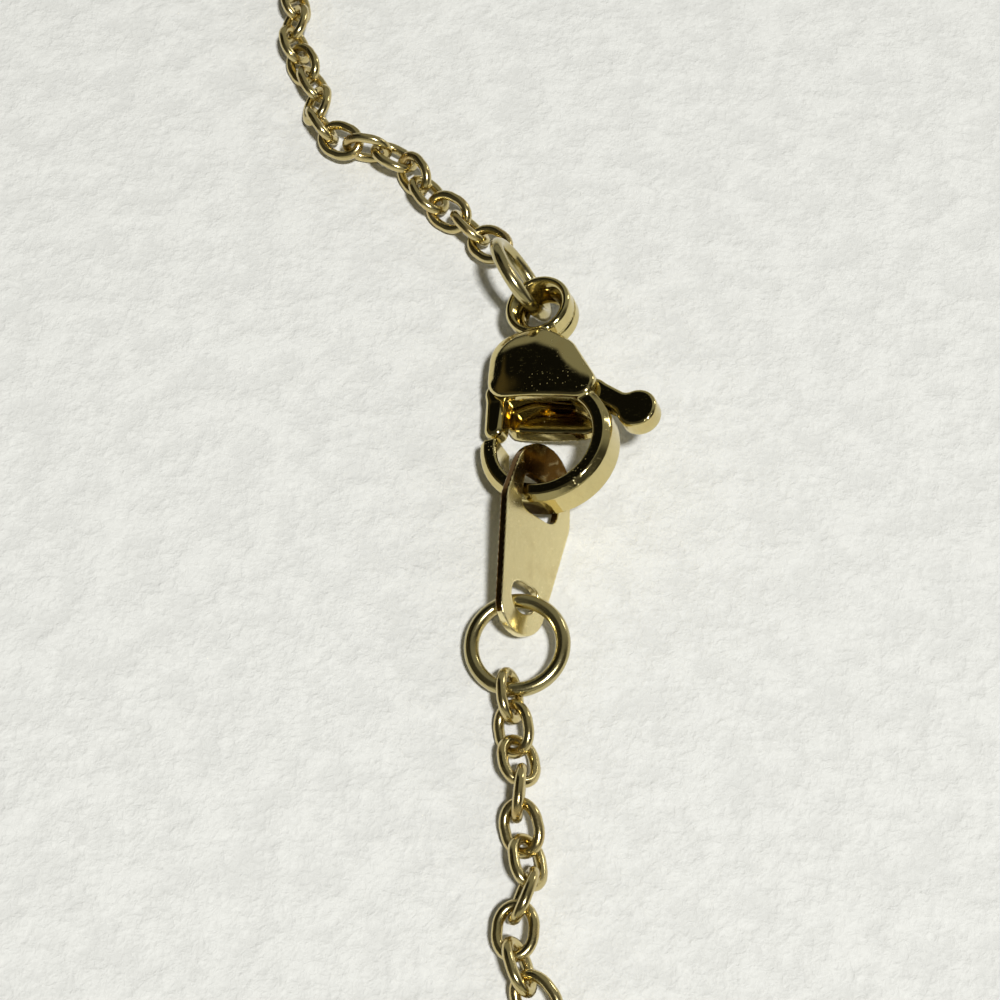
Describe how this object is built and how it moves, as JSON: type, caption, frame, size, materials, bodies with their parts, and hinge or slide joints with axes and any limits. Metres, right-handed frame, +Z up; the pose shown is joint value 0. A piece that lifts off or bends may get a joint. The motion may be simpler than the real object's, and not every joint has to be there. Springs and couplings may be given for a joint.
{
  "type": "chain necklace with lobster clasp",
  "caption": "Fine round-link chain necklace, closed by a lobster claw clasp that hooks through a drop-shaped tag, lying as a closed loop.",
  "frame": {"origin": "middle of the loop's outer size, on the table that it lies on", "axes": "+Z up from the table, +Y along the clasp from the hook towards the end loop, +X from the clasp across the neck's room to the far side of the chain"},
  "size_m": [0.1258, 0.1314, 0.0047],
  "materials": {
    "chain_gold": "gold plated, polished",
    "ring_gold": "gold plated, polished",
    "clasp_gold": "gold plated casting, polished",
    "tag_gold": "gold plated, polished"
  },
  "bodies": {
    "necklace": {"chain": "chain_gold", "clasp_jump_ring": "ring_gold", "clasp_body": "clasp_gold", "connector_tag": "tag_gold", "tag_jump_ring": "ring_gold"},
    "lever": {"clasp_lever": "clasp_gold"}
  },
  "joints": [
    {"name": "lever_pivot", "type": "hinge", "parent": "necklace", "child": "lever", "pos_m": [-0.0485, -0.0103, 0.00186], "axis": [-0.3579, -0.0188, 0.9336], "range_deg": [0, 30], "stiffness_Nm_per_rad": 0.01}
  ]
}
